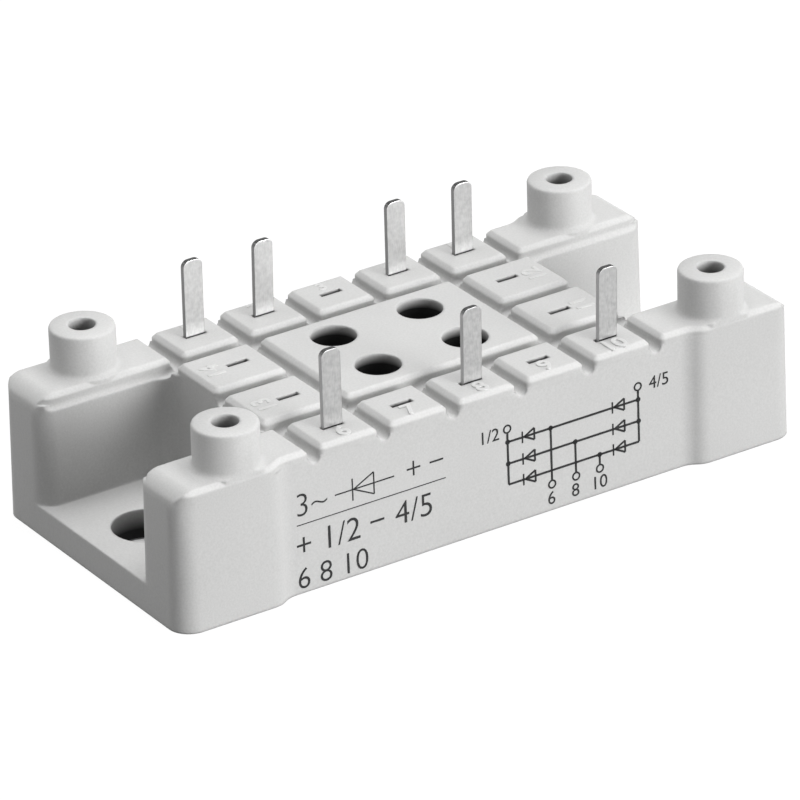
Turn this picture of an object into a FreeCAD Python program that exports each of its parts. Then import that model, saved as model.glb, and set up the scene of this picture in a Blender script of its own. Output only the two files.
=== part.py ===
import FreeCAD, Part, Sketcher
import math
import os
import re

# Three-phase bridge rectifier module for a printed circuit board.
# X runs along the housing, the printed side faces -Y, Z is up.
# The origin is the centre of the base, on the plane that meets the heat sink.

doc = FreeCAD.newDocument("BridgeRectifier")
sheet = doc.addObject("Spreadsheet::Sheet", "Sizes")

# Driving dimensions in millimetres, angles in degrees.
SIZES = [
    ("housing_length", 68.0), ("housing_width", 31.2), ("housing_height", 14.0),
    ("draft", 1.0), ("corner_round", 2.2),
    ("leg_length", 10.6), ("leg_proud", 0.85), ("step_run", 1.3), ("step_round", 2.4),
    ("floor_thickness", 3.0), ("recess_width", 16.2), ("recess_length", 14.1),
    ("recess_round", 2.0), ("mouth_round", 2.0), ("end_round", 2.2),
    ("screw_from_end", 6.0), ("screw_hole", 6.5),
    ("pin_pitch", 7.5), ("pin_from_side", 3.1), ("end_slot_spacing", 8.6),
    ("groove_width", 1.2), ("groove_depth", 1.5), ("groove_spacing", 16.2),
    ("tile_corner", 0.55), ("notch_corner", 0.5), ("lip", 0.42), ("run_out", 0.03),
    ("boss_from_end", 7.4), ("boss_from_side", 3.3), ("boss_diameter", 6.2), ("boss_height", 4.2),
    ("boss_edge", 0.3), ("boss_foot", 0.5), ("boss_root", 0.5), ("pilot_hole", 2.6), ("pilot_depth", 9.0),
    ("probe_hole", 4.4), ("probe_spacing_x", 9.6), ("probe_spacing_y", 7.5),
    ("slot_length", 2.3), ("slot_width", 0.6),
    ("pin_width", 2.0), ("pin_thickness", 0.5), ("pin_above", 8.0), ("pin_tip", 0.7),
    ("pin_foot", 2.4),
    ("roof_thickness", 3.0), ("side_wall", 2.15), ("end_wall", 1.9),
    ("seat_ledge_x", 1.0), ("seat_ledge_y", 0.6), ("ceramic_thickness", 0.63),
    ("copper_thickness", 0.3), ("copper_border", 0.5), ("plate_clearance", 0.1),
    ("pad_edge", 0.4), ("pad_gap", 0.6), ("ac_pad_depth", 9.2), ("bus_width", 3.0),
    ("strip_width", 5.8), ("riser_width", 2.5),
    ("chip_size", 4.6), ("chip_thickness", 0.3), ("lower_chip_inset", 4.0),
    ("clip_thickness", 0.25), ("clip_width", 1.6), ("clip_offset", 1.2), ("clip_reach", 1.6),
    ("clip_rise", 1.7), ("clip_foot", 1.25), ("clip_margin", 0.25),
    ("gel_depth", 5.6),
]
for row, (name, size) in enumerate(SIZES, 1):
    sheet.set("A%d" % row, name)
    sheet.set("B%d" % row, str(size))
    sheet.setAlias("B%d" % row, name)

# Sizes that follow from the driving ones.
DERIVED = [
    ("half_length", "housing_length / 2"),
    ("half_width", "housing_width / 2"),
    ("side_y", "half_width - leg_proud"),
    ("leg_x", "half_length - leg_length"),
    ("wall_x", "half_length - recess_length"),
    ("recess_y", "recess_width / 2"),
    ("deck_z", "housing_height - groove_depth + groove_width / 2"),
    ("lean", "deck_z * tan(draft)"),
    ("groove_y", "groove_spacing / 2"),
    ("groove_half", "groove_width / 2"),
    ("row_y", "side_y - pin_from_side"),
    ("screw_x", "half_length - screw_from_end"),
    ("leg_top_x", "2.5 * pin_pitch + groove_half"),
    ("boss_x", "half_length - boss_from_end"),
    ("boss_y", "half_width - boss_from_side"),
    ("boss_side", "boss_x + boss_diameter / 2"),
    ("boss_top", "housing_height + boss_height"),
    ("boss_flat", "half_width - housing_height * tan(draft) - run_out"),
    ("end_face", "half_length - (housing_height - end_round) * tan(draft) + run_out"),
    ("cavity_top", "housing_height - roof_thickness"),
    ("cavity_x", "wall_x - end_wall"),
    ("cavity_y", "side_y - side_wall"),
    ("plate_x", "cavity_x + seat_ledge_x"),
    ("plate_y", "cavity_y + seat_ledge_y"),
    ("plate_top", "copper_thickness + ceramic_thickness"),
    ("pad_top", "plate_top + copper_thickness"),
    ("reach_x", "cavity_x - pad_edge"),
    ("reach_y", "cavity_y - pad_edge"),
    ("ac_inner", "ac_pad_depth - reach_y"),
    ("bus_front", "ac_inner + pad_gap"),
    ("bus_back", "bus_front + bus_width"),
    ("strip_front", "bus_back + pad_gap"),
    ("strip_back", "strip_front + strip_width"),
    ("land_front", "strip_back + pad_gap"),
    ("riser_x", "reach_x - riser_width"),
    ("ac_width", "(2 * reach_x - 2 * pad_gap) / 3"),
    ("phase_x", "ac_width + pad_gap"),
    ("upper_chip_y", "(strip_front + strip_back) / 2"),
    ("lower_chip_y", "ac_inner - lower_chip_inset"),
    ("chip_top", "pad_top + chip_thickness"),
    ("clip_top", "pad_top + clip_rise"),
]
for row, (name, formula) in enumerate(DERIVED, len(SIZES) + 1):
    sheet.set("A%d" % row, name)
    sheet.set("B%d" % row, "=" + formula)
    sheet.setAlias("B%d" % row, name)
doc.recompute()

NAMES = [name for name, _ in SIZES + DERIVED]
WORD = re.compile(r"\b(%s)\b" % "|".join(NAMES))


def bound(text):
    """The expression for another object, with each name read from the sheet."""
    return WORD.sub(r"Sizes.\1", str(text))


def value(text):
    """The number that an expression of named sizes has now."""
    return float(sheet.evalExpression(str(text)))


def new_body(label):
    body = doc.addObject("PartDesign::Body", label)
    body.Label = label
    return body


def new_sketch(body, name, role="XY_Plane", offset="0"):
    """A sketch on one of the body's own planes, moved along its normal."""
    sketch = body.newObject("Sketcher::SketchObject", name)
    plane = [f for f in body.Origin.OriginFeatures if f.Role == role][0]
    sketch.AttachmentSupport = [(plane, "")]
    sketch.MapMode = "FlatFace"
    sketch.AttachmentOffset = FreeCAD.Placement(FreeCAD.Vector(0, 0, value(offset)), FreeCAD.Rotation())
    if offset != "0":
        sketch.setExpression("AttachmentOffset.Base.z", bound(offset))
    return sketch


def pin_down(sketch, element, place, x, y):
    """Fix a point of the sketch at named distances from its origin."""
    for kind, text in (("DistanceX", x), ("DistanceY", y)):
        index = sketch.addConstraint(Sketcher.Constraint(kind, -1, 1, element, place, value(text)))
        if WORD.search(str(text)):
            sketch.setExpression("Constraints[%d]" % index, bound(text))


def outline(sketch, corners):
    """A closed outline through corners (x, y, radius), with a tangent arc at each rounded one."""
    points = [FreeCAD.Vector(value(x), value(y), 0) for x, y, r in corners]
    radii = [value(r) for x, y, r in corners]
    count = len(corners)
    arrive, leave, arcs = [], [], []
    for i in range(count):
        corner = points[i]
        back = (points[i - 1] - corner).normalize()
        ahead = (points[(i + 1) % count] - corner).normalize()
        if radii[i] == 0:
            arrive.append(corner)
            leave.append(corner)
            arcs.append(None)
            continue
        half = back.getAngle(ahead) / 2
        run = radii[i] / math.tan(half)
        centre = corner + (back + ahead).normalize() * (radii[i] / math.sin(half))
        first, last = corner + back * run, corner + ahead * run
        turns_left = (-back).cross(ahead).z > 0
        start, end = (first, last) if turns_left else (last, first)
        a0 = math.atan2(start.y - centre.y, start.x - centre.x)
        a1 = math.atan2(end.y - centre.y, end.x - centre.x)
        circle = Part.Circle(centre, FreeCAD.Vector(0, 0, 1), radii[i])
        arc = sketch.addGeometry(Part.ArcOfCircle(circle, a0, a1), False)
        arrive.append(first)
        leave.append(last)
        arcs.append((arc, 1 if turns_left else 2, 2 if turns_left else 1))
    lines = []
    for i in range(count):
        j = (i + 1) % count
        lines.append(sketch.addGeometry(Part.LineSegment(leave[i], arrive[j]), False))
    for i in range(count):
        before, after = lines[i - 1], lines[i]
        x, y, radius = corners[i]
        if arcs[i] is None:
            sketch.addConstraint(Sketcher.Constraint("Coincident", before, 2, after, 1))
            pin_down(sketch, after, 1, x, y)
            continue
        arc, comes_in, goes_out = arcs[i]
        sketch.addConstraint(Sketcher.Constraint("Tangent", before, 2, arc, comes_in))
        sketch.addConstraint(Sketcher.Constraint("Tangent", arc, goes_out, after, 1))
        index = sketch.addConstraint(Sketcher.Constraint("Radius", arc, radii[i]))
        if WORD.search(str(radius)):
            sketch.setExpression("Constraints[%d]" % index, bound(radius))
        mark = sketch.addGeometry(Part.Point(points[i]), True)
        pin_down(sketch, mark, 1, x, y)
        sketch.addConstraint(Sketcher.Constraint("PointOnObject", mark, 1, before))
        sketch.addConstraint(Sketcher.Constraint("PointOnObject", mark, 1, after))


def rectangle(sketch, x0, x1, y0, y1, radius="0"):
    outline(sketch, [(x0, y0, radius), (x1, y0, radius), (x1, y1, radius), (x0, y1, radius)])


CHORDS = [(0, 1), (0.13, 0.5), (0.5, 0.13), (1, 0)]


def chorded(x, y, sx, sy, size):
    """A right-angled corner rounded by three chords; sx and sy point into the outline."""
    points = [("%s + %d * %s * %s" % (x, sx, run, size), "%s + %d * %s * %s" % (y, sy, rise, size), "0")
              for run, rise in CHORDS]
    return points if sx == sy else points[::-1]


def disc(sketch, x, y, diameter):
    centre = FreeCAD.Vector(value(x), value(y), 0)
    radius = value(diameter) / 2
    circle = sketch.addGeometry(Part.Circle(centre, FreeCAD.Vector(0, 0, 1), radius), False)
    index = sketch.addConstraint(Sketcher.Constraint("Diameter", circle, 2 * radius))
    sketch.setExpression("Constraints[%d]" % index, bound(diameter))
    pin_down(sketch, circle, 3, x, y)


def pad(body, sketch, name, length, midplane=False):
    feature = body.newObject("PartDesign::Pad", name)
    feature.Profile = sketch
    feature.Length = value(length)
    feature.setExpression("Length", bound(length))
    feature.Midplane = midplane
    return feature


def pocket(body, sketch, name, length, upward=False):
    feature = body.newObject("PartDesign::Pocket", name)
    feature.Profile = sketch
    feature.Length = value(length)
    feature.setExpression("Length", bound(length))
    feature.Reversed = upward
    return feature


def edges_where(feature, test):
    """Names of the feature's edges for which the test is true."""
    edges = feature.Shape.Edges
    return ["Edge%d" % number for number, edge in enumerate(edges, 1) if test(edge)]


def soften(body, base, name, kind, test, size):
    """A fillet or a chamfer on the edges that pass the test."""
    feature = body.newObject("PartDesign::" + kind, name)
    feature.Base = (base, edges_where(base, test))
    side = {"Fillet": "Radius", "Chamfer": "Size"}[kind]
    setattr(feature, side, value(size))
    feature.setExpression(side, bound(size))
    doc.recompute()


SIDES = [(-1, -1), (1, -1), (1, 1), (-1, 1)]


def mirrored(corners, sx, sy):
    """The same outline in another quarter of the plan."""
    return [("%d * (%s)" % (sx, x), "%d * (%s)" % (sy, y), r) for x, y, r in corners]


# Housing: one moulding of glass-filled polyester.
# Its plan is an H, two thick legs at each end with an open recess between them.
housing = new_body("housing")

plan = new_sketch(housing, "HousingPlan")
QUARTER = [
    ("wall_x", "recess_y", "recess_round"),
    ("half_length", "recess_y", "mouth_round"),
    ("half_length", "half_width", "corner_round"),
    ("leg_x", "half_width", "step_round"),
    ("leg_x - step_run", "side_y", "step_round"),
]
corners = QUARTER + mirrored(QUARTER[::-1], -1, 1)
corners += mirrored(QUARTER, -1, -1) + mirrored(QUARTER[::-1], 1, -1)
outline(plan, corners)
walls = pad(housing, plan, "Walls", "deck_z")
walls.TaperAngle = -value("draft")
walls.setExpression("TaperAngle", bound("-draft"))

# Floor of both recesses, which the fixing screws clamp.
floor_plan = new_sketch(housing, "FloorPlan")
rectangle(floor_plan, "-half_length", "half_length", "-recess_y - floor_thickness", "recess_y + floor_thickness")
floor = pad(housing, floor_plan, "Floor", "floor_thickness")
floor.TaperAngle = -value("draft")
floor.setExpression("TaperAngle", bound("-draft"))
doc.recompute()

# Round bottoms of the grooves, cut as troughs with their axis at deck level.
# Two run the whole length and leave the ledges beside the recesses.
trough = new_sketch(housing, "LongTroughSection", role="YZ_Plane")
for sy in (-1, 1):
    disc(trough, "%d * groove_y" % sy, "deck_z", "groove_width")
long_troughs = pocket(housing, trough, "LongTroughs", "2 * housing_length")
long_troughs.Midplane = True
trough = new_sketch(housing, "CrossTroughSection", role="XZ_Plane")
for sx in (-1, 1):
    disc(trough, "%d * pin_pitch * 1.5" % sx, "deck_z", "groove_width - run_out")
cross_troughs = pocket(housing, trough, "CrossTroughs", "2 * housing_width")
cross_troughs.Midplane = True
for side, offset, outward in (("Front", "groove_y", True), ("Back", "-groove_y", False)):
    trough = new_sketch(housing, side + "TroughSection", role="XZ_Plane", offset=offset)
    for step in (-2.5, -0.5, 0.5, 2.5):
        disc(trough, "%s * pin_pitch" % step, "deck_z", "groove_width - run_out")
    pocket(housing, trough, side + "Troughs", "housing_width", outward)
for side, offset, outward in (("Right", "1.5 * pin_pitch", True), ("Left", "-1.5 * pin_pitch", False)):
    trough = new_sketch(housing, side + "TroughSection", role="YZ_Plane", offset=offset)
    disc(trough, "0", "deck_z", "groove_width - 2 * run_out")
    pocket(housing, trough, side + "Trough", "housing_length", outward)

# Raised tiles and leg tops, with the grooves left between them.
tile_x = "(pin_pitch / 2 - groove_half)"
TILE = chorded("-" + tile_x, "groove_y + groove_half", 1, 1, "tile_corner")
TILE += chorded(tile_x, "groove_y + groove_half", -1, 1, "tile_corner")
TILE += chorded(tile_x, "side_y - lean", -1, -1, "notch_corner")
TILE += chorded("-" + tile_x, "side_y - lean", 1, -1, "notch_corner")
END_TILE = chorded("1.5 * pin_pitch + groove_half", "groove_half", 1, 1, "tile_corner")
END_TILE += chorded("wall_x - lean", "groove_half", -1, 1, "tile_corner")
END_TILE += chorded("wall_x - lean", "groove_y - groove_half", -1, -1, "tile_corner")
END_TILE += chorded("1.5 * pin_pitch + groove_half", "groove_y - groove_half", 1, -1, "tile_corner")
PLATEAU = []
for sx, sy in ((-1, -1), (1, -1), (1, 1), (-1, 1)):
    PLATEAU += chorded("%d * (1.5 * pin_pitch - groove_half)" % sx, "%d * (groove_y - groove_half)" % sy,
                       -sx, -sy, "tile_corner")
LEG_TOP = chorded("leg_top_x", "groove_y + groove_half", 1, 1, "tile_corner")
LEG_TOP += [
    ("half_length - lean", "groove_y + groove_half", "mouth_round"),
    ("half_length - lean", "half_width - lean", "corner_round - lean"),
    ("leg_x + lean", "half_width - lean", "step_round - lean"),
    ("leg_x - step_run + lean", "side_y - lean", "step_round + lean"),
]
LEG_TOP += chorded("leg_top_x", "side_y - lean", 1, -1, "notch_corner")
raised = "housing_height - deck_z"

tile_plan = new_sketch(housing, "RowTilePlan", offset="deck_z")
for sy in (-1, 1):
    outline(tile_plan, mirrored(TILE, 1, sy))
tile = pad(housing, tile_plan, "RowTile", raised)
doc.recompute()
axis = [f for f in housing.Origin.OriginFeatures if f.Role == "X_Axis"][0]
first_run = housing.newObject("PartDesign::LinearPattern", "TilesRight")
first_run.Originals = [tile]
first_run.Direction = (axis, [""])
first_run.Length = value("2 * pin_pitch")
first_run.setExpression("Length", bound("2 * pin_pitch"))
first_run.Occurrences = 3
housing.Tip = first_run
doc.recompute()
second_run = housing.newObject("PartDesign::LinearPattern", "TilesLeft")
second_run.Originals = [tile]
second_run.Direction = (axis, [""])
second_run.Reversed = True
second_run.Length = value("2 * pin_pitch")
second_run.setExpression("Length", bound("2 * pin_pitch"))
second_run.Occurrences = 3
housing.Tip = second_run
doc.recompute()

end_plan = new_sketch(housing, "EndTilePlan", offset="deck_z")
for sx, sy in SIDES:
    outline(end_plan, mirrored(END_TILE, sx, sy))
end_tiles = pad(housing, end_plan, "EndTiles", raised)
plateau_plan = new_sketch(housing, "PlateauPlan", offset="deck_z")
outline(plateau_plan, PLATEAU)
plateau = pad(housing, plateau_plan, "Plateau", raised)
leg_plan = new_sketch(housing, "LegTopPlan", offset="deck_z")
for sx, sy in SIDES:
    outline(leg_plan, mirrored(LEG_TOP, sx, sy))
leg_tops = pad(housing, leg_plan, "LegTops", raised)
doc.recompute()
height = value("housing_height")


def on_top(edge):
    box = edge.BoundBox
    return abs(box.ZMin - height) < 1e-4 and abs(box.ZMax - height) < 1e-4


soften(housing, leg_tops, "Lips", "Chamfer", on_top, "lip")

# Rounded shoulders at both ends of the leg tops.
shoulders = new_sketch(housing, "ShoulderSection", role="XZ_Plane")
SHOULDER = [
    ("end_face - 2 * end_round", "housing_height + run_out", "0"),
    ("end_face", "housing_height + run_out", "end_round"),
    ("end_face", "housing_height - 1.05 * end_round", "0"),
    ("half_length + end_round", "housing_height - 1.05 * end_round", "0"),
    ("half_length + end_round", "housing_height + end_round", "0"),
    ("end_face - 2 * end_round", "housing_height + end_round", "0"),
]
for sx in (-1, 1):
    outline(shoulders, mirrored(SHOULDER, sx, 1))
shoulder_cut = pocket(housing, shoulders, "Shoulders", "2 * housing_width")
shoulder_cut.Midplane = True

# Screw bosses for the circuit board, each with a concave foot and a flat towards the side face.
PROFILE = [
    ("boss_x", "housing_height - boss_root", "0"),
    ("boss_side + boss_foot", "housing_height - boss_root", "0"),
    ("boss_side + boss_foot", "housing_height - run_out / 3", "0"),
    ("boss_side + boss_foot / 2", "housing_height + 0.13 * boss_foot", "0"),
    ("boss_side + 0.13 * boss_foot", "housing_height + boss_foot / 2", "0"),
    ("boss_side", "housing_height + boss_foot", "0"),
    ("boss_side", "boss_top - boss_edge", "0"),
    ("boss_side - 0.3 * boss_edge", "boss_top - 0.3 * boss_edge", "0"),
    ("boss_side - boss_edge", "boss_top", "0"),
    ("boss_x", "boss_top", "0"),
]
bosses = []
for sx, sy in SIDES:
    name = {-1: "Front", 1: "Back"}[sy] + {-1: "Left", 1: "Right"}[sx] + "Boss"
    boss = new_body(name)
    section = new_sketch(boss, name + "Section", role="XZ_Plane", offset="%d * boss_y" % -sy)
    outline(section, mirrored(PROFILE, sx, 1))
    centre_line = section.addGeometry(
        Part.LineSegment(FreeCAD.Vector(sx * value("boss_x"), 0, 0), FreeCAD.Vector(sx * value("boss_x"), 1, 0)), True)
    section.addConstraint(Sketcher.Constraint("Vertical", centre_line))
    pin_down(section, centre_line, 1, "%d * boss_x" % sx, "0")
    turned = boss.newObject("PartDesign::Revolution", name + "Turned")
    turned.Profile = section
    turned.ReferenceAxis = (section, ["Axis0"])
    turned.Angle = 360
    trim = new_sketch(boss, name + "Sides", offset="housing_height - boss_root")
    rectangle(trim, "%d * boss_x - boss_diameter" % sx, "%d * boss_x + boss_diameter" % sx,
              "%d * boss_flat" % sy, "%d * (half_width + boss_diameter)" % sy)
    rectangle(trim, "%d * boss_x - boss_diameter" % sx, "%d * boss_x + boss_diameter" % sx,
              "0", "%d * (groove_y + groove_half + run_out)" % sy)
    pocket(boss, trim, name + "Trim", "2 * boss_height", True)
    bosses.append(boss)
joined = housing.newObject("PartDesign::Boolean", "Bosses")
joined.setObjects(bosses)
joined.Type = "Fuse"
doc.recompute()

# Pilot holes in the bosses and clearance holes for the heat sink screws.
pilots = new_sketch(housing, "PilotPlan", offset="boss_top")
for sx, sy in SIDES:
    disc(pilots, "%d * boss_x" % sx, "%d * boss_y" % sy, "pilot_hole")
pocket(housing, pilots, "PilotHoles", "pilot_depth")
screws = new_sketch(housing, "ScrewHolePlan")
for sx in (-1, 1):
    disc(screws, "%d * screw_x" % sx, "0", "screw_hole")
pocket(housing, screws, "ScrewHoles", "2 * floor_thickness", True)

# Seat of the ceramic plate and the chamber above it.
seat = new_sketch(housing, "SeatPlan")
rectangle(seat, "-(plate_x + plate_clearance)", "plate_x + plate_clearance",
          "-(plate_y + plate_clearance)", "plate_y + plate_clearance")
pocket(housing, seat, "PlateSeat", "plate_top", True)
chamber = new_sketch(housing, "ChamberPlan")
rectangle(chamber, "-cavity_x", "cavity_x", "-cavity_y", "cavity_y")
pocket(housing, chamber, "Chamber", "cavity_top", True)

# Four round holes in the plateau and fourteen slots, of which the pins use seven.
probes = new_sketch(housing, "ProbeHolePlan", offset="cavity_top")
for sx, sy in SIDES:
    disc(probes, "%d * probe_spacing_x / 2" % sx, "%d * probe_spacing_y / 2" % sy, "probe_hole")
pocket(housing, probes, "ProbeHoles", "2 * roof_thickness", True)
slots = new_sketch(housing, "SlotPlan", offset="cavity_top")
places = [("%d * pin_pitch" % step, "%d * row_y" % sy) for step in (-2, -1, 0, 1, 2) for sy in (-1, 1)]
places += [("%d * 2 * pin_pitch" % sx, "%d * end_slot_spacing / 2" % sy) for sx, sy in SIDES]
for x, y in places:
    rectangle(slots, x + " - slot_length / 2", x + " + slot_length / 2",
              y + " - slot_width / 2", y + " + slot_width / 2")
pocket(housing, slots, "PinSlots", "2 * roof_thickness", True)

pieces = [housing]


def slab(label, x0, x1, y0, y1, z0, thickness):
    """A plain rectangular plate between named limits."""
    box = doc.addObject("Part::Box", label)
    box.Label = label
    for side, text in (("Length", "%s - (%s)" % (x1, x0)), ("Width", "%s - (%s)" % (y1, y0)), ("Height", thickness)):
        box.setExpression(side, bound(text))
    box.Placement = FreeCAD.Placement(FreeCAD.Vector(value(x0), value(y0), value(z0)), FreeCAD.Rotation())
    for direction, text in (("x", x0), ("y", y0), ("z", z0)):
        box.setExpression("Placement.Base." + direction, bound(text))
    pieces.append(box)


def copper_pad(label, corners):
    """A copper pad bonded to the top of the ceramic plate."""
    body = new_body(label)
    plan = new_sketch(body, label + "_plan", offset="plate_top")
    outline(plan, corners)
    pad(body, plan, label + "_sheet", "copper_thickness")
    pieces.append(body)


def clip(label, column, chip, pad_side, direction):
    """A bent copper strip from the top of a chip over to the next pad."""
    near_end = "%s + %d * clip_reach" % (chip, direction)
    near_bend = "%s - %d * clip_reach" % (chip, direction)
    far_bend = "%s - %d * clip_margin" % (pad_side, direction)
    far_end = "%s - %d * (clip_margin + clip_foot)" % (pad_side, direction)
    skin = " %s clip_thickness" % "+-"[direction < 0]
    skin_back = " %s clip_thickness" % "-+"[direction < 0]
    body = new_body(label)
    section = new_sketch(body, label + "_section", role="YZ_Plane", offset=column + " - clip_width / 2")
    outline(section, [(y, z, "0") for y, z in (
        (near_end, "chip_top"), (near_bend, "chip_top"),
        (near_bend, "clip_top - clip_thickness"), (far_bend, "clip_top - clip_thickness"),
        (far_bend, "pad_top"), (far_end, "pad_top"),
        (far_end, "pad_top + clip_thickness"), (far_bend + skin_back, "pad_top + clip_thickness"),
        (far_bend + skin_back, "clip_top"), (near_bend + skin, "clip_top"),
        (near_bend + skin, "chip_top + clip_thickness"), (near_end, "chip_top + clip_thickness"),
    )])
    pad(body, section, label + "_strip", "clip_width")
    pieces.append(body)


def pin(number, x, side):
    """A blade pin standing on its pad with an inward foot."""
    label = "pin_%d" % number
    back = "%d * (row_y + pin_thickness / 2)" % side
    front = "%d * (row_y - pin_thickness / 2)" % side
    toe = "%d * (row_y + pin_thickness / 2 - pin_foot)" % side
    body = new_body(label)
    section = new_sketch(body, label + "_section", role="YZ_Plane", offset=x + " - pin_width / 2")
    outline(section, [
        (back, "pad_top", "0"), (back, "housing_height + pin_above", "0"),
        (front, "housing_height + pin_above", "0"), (front, "pad_top + pin_thickness", "0"),
        (toe, "pad_top + pin_thickness", "0"), (toe, "pad_top", "0"),
    ])
    blade = pad(body, section, label + "_blade", "pin_width")
    doc.recompute()
    top = value("housing_height + pin_above")
    soften(body, blade, label + "_tip", "Fillet",
           lambda edge: abs(edge.BoundBox.ZMin - top) < 1e-4 and edge.BoundBox.YLength > 0.1 * edge.Length
           and edge.BoundBox.XLength < 1e-4, "pin_tip")
    pieces.append(body)


# Insulating plate with copper on both faces; the lower copper meets the heat sink.
slab("base_copper", "-(plate_x - copper_border)", "plate_x - copper_border",
     "-(plate_y - copper_border)", "plate_y - copper_border", "0", "copper_thickness")
slab("ceramic_plate", "-plate_x", "plate_x", "-plate_y", "plate_y", "copper_thickness", "ceramic_thickness")
copper_pad("pad_plus", [
    ("-reach_x", "strip_front", "0"), ("riser_x - pad_gap", "strip_front", "0"),
    ("riser_x - pad_gap", "strip_back", "0"), ("-pad_gap / 2", "strip_back", "0"),
    ("-pad_gap / 2", "reach_y", "0"), ("-reach_x", "reach_y", "0"),
])
copper_pad("pad_minus", [
    ("-reach_x", "bus_front", "0"), ("reach_x", "bus_front", "0"),
    ("reach_x", "reach_y", "0"), ("pad_gap / 2", "reach_y", "0"),
    ("pad_gap / 2", "land_front", "0"), ("riser_x", "land_front", "0"),
    ("riser_x", "bus_back", "0"), ("-reach_x", "bus_back", "0"),
])

# One phase pad, two diode chips and two clips for each of the three inputs.
for phase, place in ((6, -1), (8, 0), (10, 1)):
    column = "%d * phase_x" % place
    left, right = column + " - ac_width / 2", column + " + ac_width / 2"
    copper_pad("pad_ac_%d" % phase, [
        (left, "-reach_y", "0"), (right, "-reach_y", "0"),
        (right, "ac_inner", "0"), (left, "ac_inner", "0"),
    ])
    for pole, row in (("plus", "upper_chip_y"), ("minus", "lower_chip_y")):
        slab("chip_%s_%d" % (pole, phase), column + " - chip_size / 2", column + " + chip_size / 2",
             row + " - chip_size / 2", row + " + chip_size / 2", "pad_top", "chip_thickness")
    clip("clip_plus_%d" % phase, column + " - clip_offset", "upper_chip_y", "ac_inner", 1)
    clip("clip_minus_%d" % phase, column + " + clip_offset", "lower_chip_y", "bus_front", -1)

# Seven tinned blade pins in two rows.
for number, x, side in ((1, "-2 * pin_pitch", 1), (2, "-pin_pitch", 1), (4, "pin_pitch", 1),
                        (5, "2 * pin_pitch", 1), (6, "-2 * pin_pitch", -1), (8, "0", -1), (10, "2 * pin_pitch", -1)):
    pin(number, x, side)
doc.recompute()

# Silicone gel poured over chips and clips, up to half the height of the chamber.
gel_block = new_body("GelBlock")
gel_plan = new_sketch(gel_block, "GelPlan", offset="plate_top")
rectangle(gel_plan, "-cavity_x", "cavity_x", "-cavity_y", "cavity_y")
pad(gel_block, gel_plan, "GelFill", "gel_depth")
embedded = doc.addObject("Part::Compound", "Embedded")
embedded.Links = pieces[3:]
gel = doc.addObject("Part::Cut", "silicone_gel")
gel.Label = "silicone_gel"
gel.Base = gel_block
gel.Tool = embedded
doc.recompute()
pieces.append(gel)

# Checks and one file for each piece.
for thing in doc.Objects:
    if "Invalid" in thing.State or "Error" in thing.State:
        raise RuntimeError("%s did not build" % thing.Name)
os.makedirs("parts", exist_ok=True)
for piece in pieces:
    shape = piece.Shape
    if shape.isNull() or not shape.isValid() or len(shape.Solids) != 1:
        raise RuntimeError("%s is not one valid solid" % piece.Label)
    shape.exportStep("parts/%s.step" % piece.Label)
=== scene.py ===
import bpy
import bmesh
import math
from mathutils import Matrix, Vector


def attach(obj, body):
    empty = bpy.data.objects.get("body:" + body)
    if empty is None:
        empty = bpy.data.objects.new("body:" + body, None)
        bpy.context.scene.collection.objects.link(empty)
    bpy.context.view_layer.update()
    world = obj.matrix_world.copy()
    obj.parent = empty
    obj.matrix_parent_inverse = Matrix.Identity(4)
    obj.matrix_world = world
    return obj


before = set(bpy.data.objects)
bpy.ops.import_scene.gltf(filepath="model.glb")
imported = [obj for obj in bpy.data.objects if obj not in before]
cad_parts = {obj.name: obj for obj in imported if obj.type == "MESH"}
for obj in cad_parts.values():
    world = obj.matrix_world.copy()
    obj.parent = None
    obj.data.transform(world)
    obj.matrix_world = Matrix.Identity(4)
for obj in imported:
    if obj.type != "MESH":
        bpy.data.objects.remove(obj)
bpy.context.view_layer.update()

# The housing is one moulding of light grey, glass-filled plastic.
# Fine grain from the mould shows on every face, with faint clouds where the plastic flowed.
# Slots, round holes and the chamber below its deck get painted shade, near black.
housing_grey = (0.49, 0.49, 0.486, 1)
grain_size = 5200
cloud_size = 90
housing_edge = 0.0004
turn_limit = math.radians(33)


def node_group(name, kind, inputs, outputs):
    """A node group with sockets only: inputs by label, kind and first value, outputs by label and kind."""
    tree = bpy.data.node_groups.new(name, kind)
    for label, sort, value in inputs:
        socket = tree.interface.new_socket(label, in_out="INPUT", socket_type="NodeSocket" + sort)
        if value is not None:
            socket.default_value = value
    for label, sort in outputs:
        tree.interface.new_socket(label, in_out="OUTPUT", socket_type="NodeSocket" + sort)
    return tree


def feed(tree, socket, source):
    """Give an input either a plain value or a link from another socket."""
    if isinstance(source, bpy.types.NodeSocket):
        tree.links.new(source, socket)
    else:
        socket.default_value = source


def reckon(tree, kind, *sources):
    """One step of arithmetic on numbers and sockets."""
    step = tree.nodes.new("ShaderNodeMath")
    step.operation = kind
    for socket, source in zip(step.inputs, sources):
        feed(tree, socket, source)
    return step.outputs[0]


def tinted(tree, colour, gain):
    """A colour made lighter or darker."""
    step = tree.nodes.new("ShaderNodeVectorMath")
    step.operation = "SCALE"
    feed(tree, step.inputs[0], colour)
    feed(tree, step.inputs["Scale"], gain)
    return step.outputs["Vector"]


def place(tree):
    """Where a point is on the piece, in metres, since every piece sits at the origin."""
    return tree.nodes.new("ShaderNodeTexCoord").outputs["Object"]


def noise(tree, where, scale, detail, roughness=0.5):
    """Cloudy noise, from 0 to 1."""
    texture = tree.nodes.new("ShaderNodeTexNoise")
    for label, source in (("Vector", where), ("Scale", scale), ("Detail", detail), ("Roughness", roughness)):
        feed(tree, texture.inputs[label], source)
    return texture.outputs["Fac"]


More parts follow.
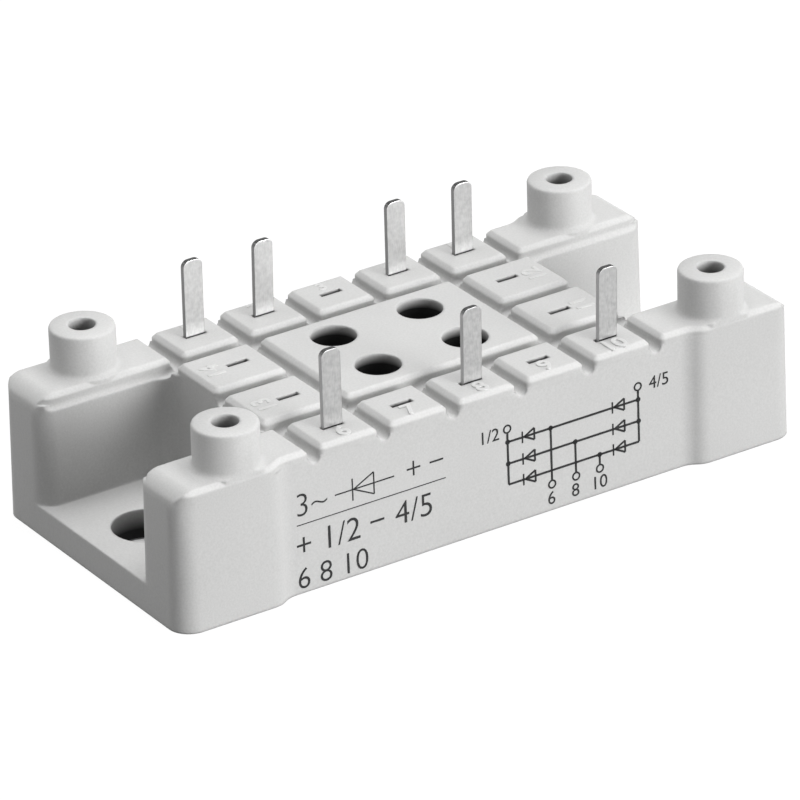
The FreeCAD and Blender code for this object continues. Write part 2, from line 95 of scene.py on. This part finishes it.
def relief(tree, height, strength):
    """A Bump node of 0.02 mm, whose output Normal the surface takes."""
    bump = tree.nodes.new("ShaderNodeBump")
    bump.inputs["Distance"].default_value = 0.00002
    feed(tree, bump.inputs["Strength"], strength)
    feed(tree, bump.inputs["Height"], height)
    return bump


def mould_grain():
    """Group: a fine grain and slow clouds, as colour, roughness and surface normal."""
    tree = node_group("mould_grain", "ShaderNodeTree",
                      [("Colour", "Color", housing_grey), ("Grain Size", "Float", grain_size),
                       ("Cloud Size", "Float", cloud_size), ("Mottle", "Float", 0.05),
                       ("Roughness", "Float", 0.6), ("Depth", "Float", 0.3), ("Normal", "Vector", (0, 0, 1))],
                      [("Colour", "Color"), ("Roughness", "Float"), ("Normal", "Vector")])
    given, result = tree.nodes.new("NodeGroupInput").outputs, tree.nodes.new("NodeGroupOutput").inputs
    where = place(tree)
    grain = noise(tree, where, given["Grain Size"], detail=3)
    clouds = noise(tree, where, given["Cloud Size"], detail=4)
    grain_weight, middle, rough_share = 2.2, 1.6, 0.1
    centred = reckon(tree, "SUBTRACT", reckon(tree, "MULTIPLY_ADD", grain, grain_weight, clouds), middle)
    shade = reckon(tree, "MULTIPLY_ADD", centred, given["Mottle"], 1.0)
    feed(tree, result["Colour"], tinted(tree, given["Colour"], shade))
    feed(tree, result["Roughness"], reckon(tree, "MULTIPLY_ADD", centred, rough_share, given["Roughness"]))
    bump = relief(tree, grain, given["Depth"])
    feed(tree, bump.inputs["Normal"], given["Normal"])
    feed(tree, result["Normal"], bump.outputs["Normal"])
    return tree


grain_group = mould_grain()


def new_material(name):
    """A material, its node tree and the inputs of its Principled surface."""
    material = bpy.data.materials.new(name)
    material.use_nodes = True
    return material, material.node_tree, material.node_tree.nodes["Principled BSDF"].inputs


def soft_edges(tree, radius):
    """Normals that round every edge as it catches the light."""
    edges = tree.nodes.new("ShaderNodeBevel")
    edges.samples = 8
    edges.inputs["Radius"].default_value = radius
    return edges.outputs["Normal"]


def plastic(name, colour, mottle, roughness, depth, soft_edge=0.00002):
    """A moulded material that uses the grain group."""
    material, tree, surface = new_material(name)
    grain = tree.nodes.new("ShaderNodeGroup")
    grain.node_tree = grain_group
    for label, source in (("Colour", colour), ("Grain Size", grain_size), ("Cloud Size", cloud_size),
                          ("Mottle", mottle), ("Roughness", roughness), ("Depth", depth),
                          ("Normal", soft_edges(tree, soft_edge))):
        feed(tree, grain.inputs[label], source)
    feed(tree, surface["Base Color"], grain.outputs["Colour"])
    feed(tree, surface["Roughness"], grain.outputs["Roughness"])
    feed(tree, surface["Normal"], grain.outputs["Normal"])
    surface["Specular IOR Level"].default_value = 0.35
    return material


def smooth_shading():
    """Geometry nodes: shade a CAD piece smooth, with edges sharp where its faces turn past the limit."""
    tree = node_group("smooth_shading", "GeometryNodeTree", [("Geometry", "Geometry", None)],
                      [("Geometry", "Geometry")])
    merge = tree.nodes.new("GeometryNodeMergeByDistance")
    merge.inputs["Distance"].default_value = 0.000001
    feed(tree, merge.inputs["Geometry"], tree.nodes.new("NodeGroupInput").outputs["Geometry"])
    smooth = tree.nodes.new("GeometryNodeSetShadeSmooth")
    feed(tree, smooth.inputs["Geometry"], merge.outputs["Geometry"])
    sharp = tree.nodes.new("GeometryNodeSetShadeSmooth")
    sharp.domain = "EDGE"
    sharp.inputs["Shade Smooth"].default_value = False
    turn = tree.nodes.new("GeometryNodeInputMeshEdgeAngle").outputs["Unsigned Angle"]
    feed(tree, sharp.inputs["Selection"], reckon(tree, "GREATER_THAN", turn, turn_limit))
    feed(tree, sharp.inputs["Geometry"], smooth.outputs["Geometry"])
    feed(tree, tree.nodes.new("NodeGroupOutput").inputs["Geometry"], sharp.outputs["Geometry"])
    return tree


shading = smooth_shading()


def dress(node_name, material):
    """Give a CAD piece its material and its shading."""
    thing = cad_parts[node_name]
    thing.data.materials.clear()
    thing.data.materials.append(material)
    thing.modifiers.new("shading", "NODES").node_group = shading


pin_pitch = 0.0075
row_y = 0.01165
end_slot_y = 0.0043
slots_end = 0.0165
slot_half_length, slot_half_width = 0.00118, 0.00033
chamber_x, chamber_y, chamber_roof = 0.0185, 0.0129, 0.0112
screw_x = 0.028
tile_top = 0.014
slot_run, chamber_run = 0.0004, 0.0001

# Round holes: X and Y of the axis, radius, top of the painted shade, the depth it takes to be full, foot of
# the hole.
round_holes = {"plateau": (0.0048, 0.00375, 0.0023, 0.0139, 0.0009, 0.0005),
               "boss": (0.0266, 0.0123, 0.0014, 0.0180, 0.0018, 0.0080),
               "fixing_screw": (screw_x, 0.0, 0.0034, 0.0029, 0.0019, 0.0001)}


def parts_of(tree, vector):
    """X, Y and Z of a vector."""
    step = tree.nodes.new("ShaderNodeSeparateXYZ")
    feed(tree, step.inputs["Vector"], vector)
    return step.outputs


def ramp(tree, value, low, high, at_low=0.0, at_high=1.0):
    """A number that runs from at_low to at_high while the value runs from low to high."""
    step = tree.nodes.new("ShaderNodeMapRange")
    for label, source in (("Value", value), ("From Min", low), ("From Max", high), ("To Min", at_low),
                          ("To Max", at_high)):
        feed(tree, step.inputs[label], source)
    return step.outputs["Result"]


def hole_shade_depth():
    """Group: how deep the painted shade lies, 1 deep inside the chamber, the slots and the round holes of the
    housing, 0 at their rims.
    """
    tree = node_group("hole_shade_depth", "ShaderNodeTree", [], [("Depth", "Float")])
    along, across, z = parts_of(tree, place(tree))
    x, y = reckon(tree, "ABSOLUTE", along), reckon(tree, "ABSOLUTE", across)

    def near(value, middle, reach):
        away = reckon(tree, "ABSOLUTE", reckon(tree, "SUBTRACT", value, middle))
        return reckon(tree, "LESS_THAN", away, reach)

    def both(*masks):
        total = masks[0]
        for mask in masks[1:]:
            total = reckon(tree, "MULTIPLY", total, mask)
        return total

    def below(top, run):
        return ramp(tree, z, top, top - run)

    depth = both(near(x, 0.0, chamber_x), near(y, 0.0, chamber_y), below(chamber_roof, chamber_run))
    for axis_x, axis_y, radius, top, run, bottom in round_holes.values():
        dx, dy = reckon(tree, "SUBTRACT", x, axis_x), reckon(tree, "SUBTRACT", y, axis_y)
        from_axis = reckon(tree, "SQRT", reckon(tree, "ADD", both(dx, dx), both(dy, dy)))
        inside = both(reckon(tree, "LESS_THAN", from_axis, radius), reckon(tree, "GREATER_THAN", z, bottom))
        depth = reckon(tree, "MAXIMUM", depth, both(inside, below(top, run)))
    from_slot = reckon(tree, "WRAP", x, pin_pitch / 2, -pin_pitch / 2)
    end_slots = both(near(y, end_slot_y, slot_half_width), near(x, 2 * pin_pitch, pin_pitch / 5))
    in_line = reckon(tree, "MAXIMUM", near(y, row_y, slot_half_width), end_slots)
    slots = both(near(from_slot, 0.0, slot_half_length), near(x, 0.0, slots_end), in_line)
    depth = reckon(tree, "MAXIMUM", depth, both(slots, below(tile_top, slot_run)))
    feed(tree, tree.nodes.new("NodeGroupOutput").inputs["Depth"], depth)
    return tree


def source_of(socket):
    """What feeds an input now."""
    return socket.links[0].from_socket


def between(tree, share, first, second):
    """A colour between two others."""
    step = tree.nodes.new("ShaderNodeMix")
    step.data_type = "RGBA"
    for label, source in (("Factor", share), ("A", first), ("B", second)):
        feed(tree, step.inputs[label], source)
    return step.outputs["Result"]


def paint_shade_in_holes(material):
    """Painted shade: the housing goes near black, and rougher, down inside the holes, the slots and the
    chamber.
    """
    tree = material.node_tree
    surface = tree.nodes["Principled BSDF"].inputs
    group = tree.nodes.new("ShaderNodeGroup")
    group.node_tree = hole_shade_depth()
    depth = group.outputs["Depth"]
    # Painted shade: the near-black colour the housing takes deep inside its holes.
    painted_shade_black, extra_roughness = (0.004, 0.004, 0.004, 1), 0.4
    feed(tree, surface["Base Color"], between(tree, depth, source_of(surface["Base Color"]), painted_shade_black))
    feed(tree, surface["Roughness"],
         reckon(tree, "MULTIPLY_ADD", depth, extra_roughness, source_of(surface["Roughness"])))


housing_plastic = plastic("housing_plastic", housing_grey, mottle=0.12, roughness=0.55, depth=0.5,
                          soft_edge=housing_edge)
paint_shade_in_holes(housing_plastic)
dress("housing", housing_plastic)

# Seven blade pins are stamped from tinned copper strip and stand soldered on the pads.
# Fine draw lines and marks of handling mottle their faces, and the cut sides are duller.
# Each stands a little differently in its slot, as they do after soldering.
tip_black = (0.06, 0.06, 0.06, 1)
cut_edge = 0.0001


def drawn_metal(name, bright, dull, roughness, lines_per_metre):
    """Metal with fine lines along Z, and patches that are brighter and duller."""
    material, tree, surface = new_material(name)
    where = place(tree)
    stretch = tree.nodes.new("ShaderNodeMapping")
    stretch.inputs["Scale"].default_value = (lines_per_metre, lines_per_metre, lines_per_metre / 6)
    feed(tree, stretch.inputs["Vector"], where)
    lines = noise(tree, stretch.outputs["Vector"], scale=1, detail=5, roughness=0.6)
    patches = noise(tree, where, lines_per_metre / 4, detail=3)
    mottle = ramp(tree, reckon(tree, "ADD", lines, patches), 0.75, 1.25)
    feed(tree, surface["Base Color"], between(tree, mottle, dull, bright))
    feed(tree, surface["Roughness"], ramp(tree, lines, 0.0, 1.0, roughness + 0.12, roughness - 0.06))
    feed(tree, surface["Normal"], relief(tree, lines, 0.25).outputs["Normal"])
    surface["Metallic"].default_value = 0.9
    return material


def tone_foot_and_paint_seam_shade(material):
    """The tin is brighter low down, towards its foot, and painted shade makes a dark seam in the slot's
    mouth.
    """
    tree = material.node_tree
    surface = tree.nodes["Principled BSDF"].inputs
    z = parts_of(tree, place(tree))["Z"]
    gain = ramp(tree, z, tile_top + 0.0004, tile_top + 0.0014, 1.15, 1.0)
    # Painted shade: a dark seam just where the pin enters its slot.
    painted_seam_shade = ramp(tree, z, tile_top + 0.00006, tile_top + 0.00014, 0.12, 1.0)
    foot_tone = tinted(tree, source_of(surface["Base Color"]), reckon(tree, "MULTIPLY", gain, painted_seam_shade))
    feed(tree, surface["Base Color"], foot_tone)


def darken_cut_sides(material, side_grey):
    """Where the strip was cut, on its narrow sides and most at its tip, the metal is dark and rough."""
    tree = material.node_tree
    surface = tree.nodes["Principled BSDF"].inputs
    along, _, upward = parts_of(tree, tree.nodes.new("ShaderNodeTexCoord").outputs["Normal"])
    cut = ramp(tree, reckon(tree, "MAXIMUM", reckon(tree, "ABSOLUTE", along), upward), 0.35, 0.8)
    cut_colour = between(tree, ramp(tree, upward, 0.1, 0.7), (side_grey, side_grey, side_grey, 1), tip_black)
    feed(tree, surface["Base Color"], between(tree, cut, source_of(surface["Base Color"]), cut_colour))
    feed(tree, surface["Roughness"], reckon(tree, "MULTIPLY_ADD", cut, 0.3, source_of(surface["Roughness"])))
    feed(tree, tree.nodes["Bump"].inputs["Normal"], soft_edges(tree, cut_edge))


def stance():
    """Geometry nodes: where a pin stands in its slot, how its upper part leans, and its height."""
    tree = node_group("pin_stance", "GeometryNodeTree",
                      [("Geometry", "Geometry", None), ("Top", "Float", None), ("Lean", "Float", None),
                       ("Shift", "Float", None)],
                      [("Geometry", "Geometry")])
    given = tree.nodes.new("NodeGroupInput").outputs
    x, y, z = parts_of(tree, tree.nodes.new("GeometryNodeInputPosition").outputs["Position"])
    blade, backwards = 0.008, 0.00004
    share = reckon(tree, "MAXIMUM", reckon(tree, "MULTIPLY_ADD", z, 1 / blade, -tile_top / blade), 0.0)
    reach = reckon(tree, "SUBTRACT", given["Top"], tile_top)
    aside = reckon(tree, "MULTIPLY_ADD", share, given["Lean"], given["Shift"])
    moved = tree.nodes.new("ShaderNodeCombineXYZ")
    feed(tree, moved.inputs["X"], reckon(tree, "ADD", x, aside))
    feed(tree, moved.inputs["Y"], reckon(tree, "ADD", y, backwards))
    foot = reckon(tree, "MINIMUM", z, tile_top)
    feed(tree, moved.inputs["Z"], reckon(tree, "MULTIPLY_ADD", share, reach, foot))
    shift = tree.nodes.new("GeometryNodeSetPosition")
    feed(tree, shift.inputs["Geometry"], given["Geometry"])
    feed(tree, shift.inputs["Position"], moved.outputs["Vector"])
    feed(tree, tree.nodes.new("NodeGroupOutput").inputs["Geometry"], shift.outputs["Geometry"])
    return tree


# Two copies of one tinned strip: the back row's is painted lighter on its faces and darker on its cut sides
# than the front row's, as painted light and shade.
front_tin_painted_shade = drawn_metal("tinned_strip_front_painted_shade", bright=(0.47, 0.47, 0.467, 1), dull=(0.36, 0.36, 0.36, 1),
                        roughness=0.34, lines_per_metre=9000)
back_tin_painted_light = drawn_metal("tinned_strip_back_painted_light", bright=(0.66, 0.66, 0.656, 1), dull=(0.52, 0.52, 0.52, 1),
                       roughness=0.34, lines_per_metre=9000)
for tin, side_grey in ((front_tin_painted_shade, 0.36), (back_tin_painted_light, 0.23)):
    tone_foot_and_paint_seam_shade(tin)
    darken_cut_sides(tin, side_grey)

# Height of each pin's tip, how far the tip leans and how far the whole pin is shifted, both towards +X.
back_shift = -0.00015
pin_stances = {1: (0.02172, 0.00015, back_shift), 2: (0.02156, 0.00036, back_shift),
               4: (0.02142, 0.00006, back_shift), 5: (0.02124, 0.00015, back_shift),
               6: (0.02171, 0.0, 0.0), 8: (0.02142, 0.00032, 0.0), 10: (0.02121, 0.00037, 0.0)}
pin_stance = stance()
stance_inputs = {item.name: item.identifier for item in pin_stance.interface.items_tree
                 if item.in_out == "INPUT"}
for number, values in pin_stances.items():
    node_name = "pin_%d" % number
    dress(node_name, front_tin_painted_shade if number > 5 else back_tin_painted_light)
    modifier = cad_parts[node_name].modifiers.new("stance", "NODES")
    modifier.node_group = pin_stance
    for label, value in zip(("Top", "Lean", "Shift"), values):
        modifier[stance_inputs[label]] = value

# Everything below is sealed in the gel chamber: copper bonded to a ceramic plate,
# soldered diode chips, bent copper clips, and the clear silicone gel over them.
bonded_copper = drawn_metal("bonded_copper", bright=(0.74, 0.40, 0.26, 1), dull=(0.52, 0.26, 0.16, 1),
                            roughness=0.42, lines_per_metre=3000)
clip_copper = drawn_metal("clip_copper", bright=(0.80, 0.46, 0.32, 1), dull=(0.62, 0.33, 0.22, 1),
                          roughness=0.32, lines_per_metre=5000)
ceramic = plastic("fired_ceramic", (0.82, 0.81, 0.77, 1), mottle=0.05, roughness=0.6, depth=0.2)
chip_silicon = plastic("chip_silicon", (0.06, 0.065, 0.075, 1), mottle=0.15, roughness=0.22, depth=0.1)
chip_silicon.node_tree.nodes["Principled BSDF"].inputs["Metallic"].default_value = 0.5
gel = plastic("silicone_gel", (0.10, 0.11, 0.11, 1), mottle=0.04, roughness=0.12, depth=0.1)
gel_surface = gel.node_tree.nodes["Principled BSDF"].inputs
gel_surface["Alpha"].default_value = 0.45
gel_surface["IOR"].default_value = 1.41

dress("ceramic_plate", ceramic)
for node_name in ("base_copper", "pad_plus", "pad_minus"):
    dress(node_name, bonded_copper)
for number in (6, 8, 10):
    dress("pad_ac_%d" % number, bonded_copper)
    for pole in ("plus", "minus"):
        dress("chip_%s_%d" % (pole, number), chip_silicon)
        dress("clip_%s_%d" % (pole, number), clip_copper)
dress("silicone_gel", gel)

# Numbers moulded proud of the tiles, one beside each slot, in the housing's plastic, with a painted highlight
# that makes them a little lighter than the tiles.
# The front row carries 6 to 10, the back row 1 to 5, the end tiles 11 to 14.
capital_share = 0.69  # height of a figure in the typeface, of its size
number_weight = 0.00006


def lettering(text, height, thickness, weight=0.0):
    """Text as a mesh in its own XY plane, centred at the origin, its strokes thicker by twice the weight."""
    curve = bpy.data.curves.new("letters", "FONT")
    curve.body = text
    curve.align_x = "CENTER"
    curve.align_y = "CENTER"
    curve.size = height / capital_share
    curve.extrude = thickness / 2
    curve.offset = weight
    curve.resolution_u = 4
    writer = bpy.data.objects.new("letters", curve)
    bpy.context.collection.objects.link(writer)
    bpy.context.view_layer.update()
    mesh = bpy.data.meshes.new_from_object(writer.evaluated_get(bpy.context.evaluated_depsgraph_get()))
    bpy.data.objects.remove(writer)
    return mesh


def gather(name, meshes, material):
    """One piece from meshes that already lie in place."""
    whole = bmesh.new()
    for mesh in meshes:
        whole.from_mesh(mesh)
        bpy.data.meshes.remove(mesh)
    bmesh.ops.remove_doubles(whole, verts=whole.verts, dist=0.0000002)
    bmesh.ops.recalc_face_normals(whole, faces=whole.faces)
    mesh = bpy.data.meshes.new(name)
    whole.to_mesh(mesh)
    whole.free()
    mesh.materials.append(material)
    thing = bpy.data.objects.new(name, mesh)
    bpy.context.collection.objects.link(thing)
    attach(thing, "root")
    return thing


# X and Y of the middle of each number, in millimetres.
front_row = {"6": (-14.9, -13.25), "7": (-7.7, -13.25), "8": (0.1, -13.25), "9": (7.3, -13.2),
             "10": (14.85, -13.35)}
back_row = {"1": (-15.1, 13.15), "2": (-7.55, 13.15), "3": (-0.05, 13.15), "4": (7.45, 13.15),
            "5": (14.95, 13.15)}
end_tiles = {"11": (17.6, -4.4), "12": (17.7, 3.6), "13": (-17.6, -4.5), "14": (-17.6, 4.1)}

digits = []
for row, turn, height, proud in ((front_row, 0, 0.0018, 0.00014), (back_row, 0, 0.0014, 0.00006),
                                 (end_tiles, 90, 0.0018, 0.00006)):
    for text, (x, y) in row.items():
        mesh = lettering(text, height, 2 * proud, number_weight)
        turned = Matrix.Rotation(math.radians(turn), 4, "Z")
        mesh.transform(Matrix.Translation((x / 1000, y / 1000, tile_top)) @ turned)
        digits.append(mesh)
# Painted highlight: the numbers' plastic is a little lighter than the housing's.
number_plastic_painted_light = plastic("moulded_numbers_painted_light", (0.54, 0.54, 0.536, 1), mottle=0.12, roughness=0.5, depth=0.4,
                         soft_edge=0.0001)
tile_numbers = gather("tile_numbers", digits, number_plastic_painted_light)

# Circuit printed in black on the leaning front face: three phases between two rails.
# The ink is a thin film, half sunk in the face, so it stands only 0.015 mm proud.
side_foot = -0.01475
side_slope = math.radians(1)
ink_film = 0.00003
line_width = 0.00022
ring_radius, ring_width = 0.00046, 0.00017
dot_radius = 0.00026
ink = plastic("black_ink", (0.007, 0.007, 0.0075, 1), mottle=0.3, roughness=0.6, depth=0.2)


def on_face(mesh, x, z):
    """Stand a mesh drawn in XY up on the front face, its origin at (x, z)."""
    y = side_foot + z * math.tan(side_slope) - ink_film / 2
    lean = Matrix.Rotation(math.radians(90) - side_slope, 4, "X")
    mesh.transform(Matrix.Translation((x, y, z)) @ lean)
    return mesh


def inked_figure(build, x, z):
    """A flat figure from a function that draws its faces, made as thick as the film and put on the face."""
    figure = bmesh.new()
    build(figure)
    grown = bmesh.ops.extrude_face_region(figure, geom=list(figure.faces))
    lifted = [v for v in grown["geom"] if isinstance(v, bmesh.types.BMVert)]
    bmesh.ops.translate(figure, vec=(0, 0, ink_film), verts=lifted)
    bmesh.ops.translate(figure, vec=(0, 0, -ink_film / 2), verts=figure.verts)
    bmesh.ops.recalc_face_normals(figure, faces=figure.faces)
    mesh = bpy.data.meshes.new("ink")
    figure.to_mesh(mesh)
    figure.free()
    return on_face(mesh, x, z)


def bar(x0, z0, x1, z1, width=line_width):
    """A straight line between two points of the face."""
    run = Vector((x1 - x0, z1 - z0))
    turn = Matrix.Rotation(math.atan2(run.y, run.x), 2)
    half_length, half_width = run.length / 2, width / 2

    def build(figure):
        corners = [(-half_length, -half_width), (half_length, -half_width),
                   (half_length, half_width), (-half_length, half_width)]
        figure.faces.new([figure.verts.new((*(turn @ Vector(corner)), 0)) for corner in corners])
    return inked_figure(build, (x0 + x1) / 2, (z0 + z1) / 2)


def circle_of(figure, radius, count):
    """Vertices of a circle round the origin."""
    angles = [2 * math.pi * i / count for i in range(count)]
    return [figure.verts.new((radius * math.cos(a), radius * math.sin(a), 0)) for a in angles]


def ring(x, z):
    """The open mark of a terminal."""
    def build(figure):
        count = 32
        inner = circle_of(figure, ring_radius - ring_width, count)
        outer = circle_of(figure, ring_radius, count)
        for i in range(count):
            j = (i + 1) % count
            figure.faces.new([inner[i], outer[i], outer[j], inner[j]])
    return inked_figure(build, x, z)


def dot(x, z):
    """The filled mark of a junction."""
    return inked_figure(lambda figure: figure.faces.new(circle_of(figure, dot_radius, 24)), x, z)


def arrow(tip_x, base_x, z, height, width):
    """A diode's arrow in outline, pointing left."""
    low, high = z - height / 2, z + height / 2
    return [bar(tip_x, z, base_x, high, width), bar(tip_x, z, base_x, low, width),
            bar(base_x, low, base_x, high, width)]


def words(text, x, z, height, weight=0.0):
    """Printed text with its middle at (x, z)."""
    return on_face(lettering(text, height, ink_film, weight), x, z)


rail_left, rail_right, rail_top = 0.0020, 0.0166, 0.0097
rows = [0.00838, 0.00618, 0.00407]
phase_taps = {"6": 0.00677, "8": 0.00946, "10": 0.01214}
tap_foot, tap_label = 0.00266, 0.00122
diode_columns = (0.00364, 0.0137)
diode_gap, diode_length, diode_height = 0.0002, 0.00112, 0.00118
diode_bar_half, diode_bar_width, arrow_width = 0.00058, 0.00016, 0.0002
tap_number_height, pole_number_height = 0.0013, 0.00125

inked = []
for rail in (rail_left, rail_right):
    inked += [bar(rail, rows[2], rail, rail_top - ring_radius), ring(rail, rail_top), dot(rail, rows[0]),
              dot(rail, rows[1])]
for row in rows:
    inked.append(bar(rail_left, row, rail_right, row))
    for x in diode_columns:
        inked.append(bar(x, row - diode_bar_half, x, row + diode_bar_half, diode_bar_width))
        inked += arrow(x + diode_gap, x + diode_gap + diode_length, row, diode_height, arrow_width)
for (number, x), row in zip(phase_taps.items(), rows):
    inked += [dot(x, row), bar(x, row, x, tap_foot + ring_radius), ring(x, tap_foot),
              words(number, x - 0.0001, tap_label, tap_number_height)]
inked += [words("1/2", 0.0, 0.00946, pole_number_height), words("4/5", 0.019, 0.0096, pole_number_height)]

# Left of the circuit: the sign of a three-phase input, a diode, plus and minus, above a rule,
# and the numbers of the pins that carry them.
minus = "\u2212"
thin, fine = -0.00003, -0.00005  # strokes lighter than the typeface's own
sign_line, pole_line, phase_line = 0.0087, 0.00465, 0.00138
sign_height, phase_height = 0.0023, 0.0021
sign_width, rule_width = 0.00013, 0.00009
diode_bar, diode_tip, diode_base = -0.0149, -0.0148, -0.0126
diode_span = 0.0022
for text, x in (("3~", -0.0193), ("+", -0.0083), (minus, -0.0058)):
    inked.append(words(text, x, sign_line, sign_height, fine))
inked += [bar(-0.0168, sign_line, -0.0104, sign_line, sign_width),
          bar(diode_bar, sign_line - diode_span / 2, diode_bar, sign_line + diode_span / 2, sign_width)]
inked += arrow(diode_tip, diode_base, sign_line, diode_span, sign_width)
inked += [bar(-0.02095, 0.00687, -0.00487, 0.00687, rule_width),
          words("+ 1/2", -0.0177, pole_line, sign_height, thin),
          words(minus + " 4/5", -0.0098, pole_line, sign_height, thin),
          words("6 8 10", -0.0173, phase_line, phase_height, thin)]

circuit = gather("printed_circuit", inked, ink)

# The module stands on a pale table, just below its base, so that the two never share a surface.
# It looks white to the camera and in reflections, keeps a soft shadow, gives the base some light,
# and is clear when seen from below.
table_reach, table_drop = 3, -0.00005
table_white, bounced_grey = (0.8, 0.8, 0.8, 1), (0.14, 0.14, 0.14, 1)
white_share, base_share = 0.88, 0.5
base_x, base_y = 0.0335, 0.0144
shade_radius = 0.0036

table_mesh = bpy.data.meshes.new("table")
corners = [(-table_reach, -table_reach), (table_reach, -table_reach), (table_reach, table_reach),
           (-table_reach, table_reach)]
table_mesh.from_pydata([(x, y, table_drop) for x, y in corners], [], [(0, 1, 2, 3)])
table = bpy.data.objects.new("table", table_mesh)
bpy.context.collection.objects.link(table)


def table_paint():
    """White when looked at straight or in a reflection, but not down a screw hole; grey to bounced light."""
    material, tree, surface = new_material("table_paint")
    ray = tree.nodes.new("ShaderNodeLightPath").outputs
    surface["Roughness"].default_value = 0.9
    surface["Specular IOR Level"].default_value = 0.0
    feed(tree, surface["Base Color"], between(tree, ray["Is Camera Ray"], bounced_grey, table_white))
    white = tree.nodes.new("ShaderNodeEmission")
    white.inputs["Strength"].default_value = 1.05
    along, across, _ = parts_of(tree, place(tree))
    x, y = reckon(tree, "ABSOLUTE", along), reckon(tree, "ABSOLUTE", across)
    dx = reckon(tree, "SUBTRACT", x, screw_x)
    squares = reckon(tree, "ADD", reckon(tree, "MULTIPLY", dx, dx), reckon(tree, "MULTIPLY", y, y))
    clear = reckon(tree, "GREATER_THAN", reckon(tree, "SQRT", squares), shade_radius)
    within_x, within_y = reckon(tree, "LESS_THAN", x, base_x), reckon(tree, "LESS_THAN", y, base_y)
    under = reckon(tree, "MULTIPLY", within_x, within_y)
    mirrored = reckon(tree, "MAXIMUM", ray["Is Glossy Ray"], ray["Is Transmission Ray"])
    seen = reckon(tree, "MAXIMUM", reckon(tree, "MULTIPLY", ray["Is Camera Ray"], clear), mirrored)
    lit = reckon(tree, "MULTIPLY", ray["Is Diffuse Ray"], clear)
    lit_base = reckon(tree, "MULTIPLY", lit, reckon(tree, "MULTIPLY", under, base_share))
    shown = reckon(tree, "ADD", reckon(tree, "MULTIPLY", seen, white_share), lit_base)

    def mixed(share, first, second):
        step = tree.nodes.new("ShaderNodeMixShader")
        for socket, source in zip(step.inputs, (share, first, second)):
            feed(tree, socket, source)
        return step.outputs["Shader"]

    top_side = mixed(shown, tree.nodes["Principled BSDF"].outputs["BSDF"], white.outputs["Emission"])
    see_through = tree.nodes.new("ShaderNodeBsdfTransparent").outputs["BSDF"]
    from_below = tree.nodes.new("ShaderNodeNewGeometry").outputs["Backfacing"]
    output = tree.nodes["Material Output"].inputs["Surface"]
    feed(tree, output, mixed(from_below, top_side, see_through))
    return material


table_mesh.materials.append(table_paint())

# The room is white to look at but gives little light of its own.
# A low lamp in front, one almost overhead and a weak one on the left give the light.
scene = bpy.context.scene
scene.view_settings.view_transform = "Standard"
room = bpy.data.worlds.new("room")
scene.world = room
room.use_nodes = True
room_tree = room.node_tree
backdrop = room_tree.nodes["Background"].inputs
backdrop["Color"].default_value = (1, 1, 1, 1)
ray = room_tree.nodes.new("ShaderNodeLightPath").outputs
looked_at = reckon(room_tree, "MAXIMUM", ray["Is Camera Ray"], ray["Is Glossy Ray"])
feed(room_tree, backdrop["Strength"], ramp(room_tree, looked_at, 0.0, 1.0, 0.05, 1.0))

# Strength of each lamp, then in degrees how wide it is, its bearing from the front and its height.
lamps = {"front_lamp": (4.2, 35, 25, 11), "top_lamp": (3.15, 55, 125, 85), "left_lamp": (0.8, 50, -115, 15)}
for name, (strength, spread, bearing, height) in lamps.items():
    lamp_data = bpy.data.lights.new(name, "SUN")
    lamp_data.energy = strength
    lamp_data.angle = math.radians(spread)
    lamp = bpy.data.objects.new(name, lamp_data)
    bpy.context.collection.objects.link(lamp)
    turn, tilt = math.radians(bearing), math.radians(height)
    towards = Vector((math.sin(turn) * math.cos(tilt), -math.cos(turn) * math.cos(tilt), math.sin(tilt)))
    lamp.rotation_euler = towards.to_track_quat("Z", "Y").to_euler()

# Camera: a long lens from the left front, fitted to the corners seen in the photograph.
# The origin of the module falls a little right of the middle of the frame, and below it.
azimuth, elevation, roll = math.radians(-32.79), math.radians(26.49), math.radians(-1.72)
distance = 0.6266
picture_width = 800
focal_pixels = 6714.9
pixels_right, pixels_down = 3.23, 71.17
level = math.cos(elevation)
back = Vector((math.sin(azimuth) * level, -math.cos(azimuth) * level, math.sin(elevation)))
right = Vector((math.cos(azimuth), math.sin(azimuth), 0))
up = back.cross(right)
across = math.cos(roll) * right + math.sin(roll) * up
upward = -math.sin(roll) * right + math.cos(roll) * up
pixel = distance / focal_pixels
centre = back * distance - across * pixels_right * pixel + upward * pixels_down * pixel
camera_data = bpy.data.cameras.new("camera")
camera_data.sensor_width = 36
camera_data.lens = focal_pixels / picture_width * camera_data.sensor_width
camera_data.clip_start = 0.01
camera = bpy.data.objects.new("camera", camera_data)
bpy.context.collection.objects.link(camera)
camera.matrix_world = Matrix.Translation(centre) @ Matrix((across, upward, back)).transposed().to_4x4()
scene.camera = camera
